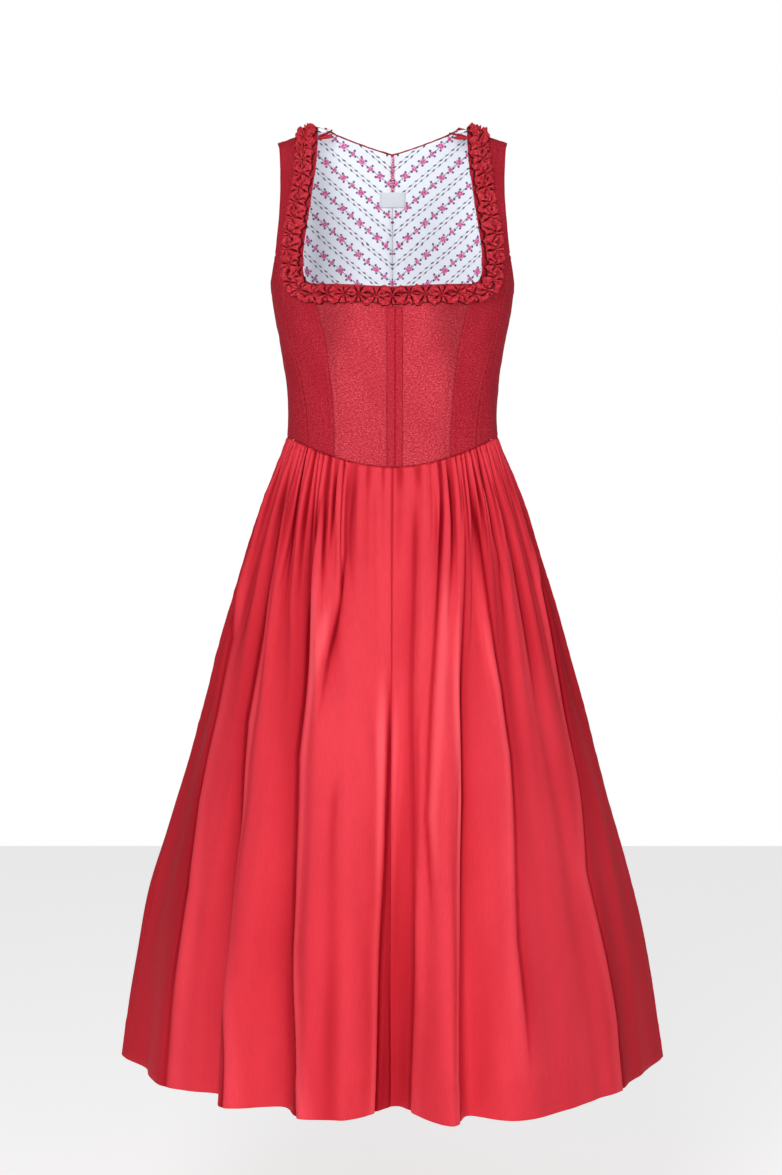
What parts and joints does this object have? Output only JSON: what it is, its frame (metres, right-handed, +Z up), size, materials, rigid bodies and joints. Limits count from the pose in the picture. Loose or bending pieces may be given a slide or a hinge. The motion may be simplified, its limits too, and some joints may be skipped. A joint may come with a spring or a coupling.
{
  "type": "sleeveless midi dirndl",
  "caption": "Sleeveless dirndl in its worn hollow form: fitted lined bodice with a square neckline edged by a pinched ruche, and a finely gathered midi skirt",
  "frame": {"origin": "midway between the two shoulder seams, where the wearer's shoulders carry the dress", "axes": "+Z up, the dress faces -Y, +X is the wearer's left (the right of a picture taken from the front)"},
  "size_m": [0.6606, 0.6598, 1.134],
  "materials": {
    "bodice_cloth": "matt fine twill, dark red",
    "lining_cloth": "plain cotton, pale lavender white with rows of small flowers",
    "ruche_cloth": "matt twill, pinched into a ruche, dark red",
    "label_tape": "woven white tape, bare",
    "skirt_cloth": "smooth cotton satin with a soft sheen, bright red"
  },
  "bodies": {
    "root": {"front_centre_left": "bodice_cloth", "front_centre_right": "bodice_cloth", "front_side_left": "bodice_cloth", "front_side_right": "bodice_cloth", "side_left": "bodice_cloth", "side_right": "bodice_cloth", "back_side_left": "bodice_cloth", "back_side_right": "bodice_cloth", "back_centre_left": "bodice_cloth", "back_centre_right": "bodice_cloth", "lining_front_left": "lining_cloth", "lining_front_right": "lining_cloth", "lining_back_left": "lining_cloth", "lining_back_right": "lining_cloth", "placket_left": "bodice_cloth", "placket_right": "bodice_cloth", "ruche_left": "ruche_cloth", "ruche_right": "ruche_cloth", "label": "label_tape", "skirt_front_left": "skirt_cloth", "skirt_front_right": "skirt_cloth", "skirt_back_left": "skirt_cloth", "skirt_back_right": "skirt_cloth"}
  },
  "joints": []
}
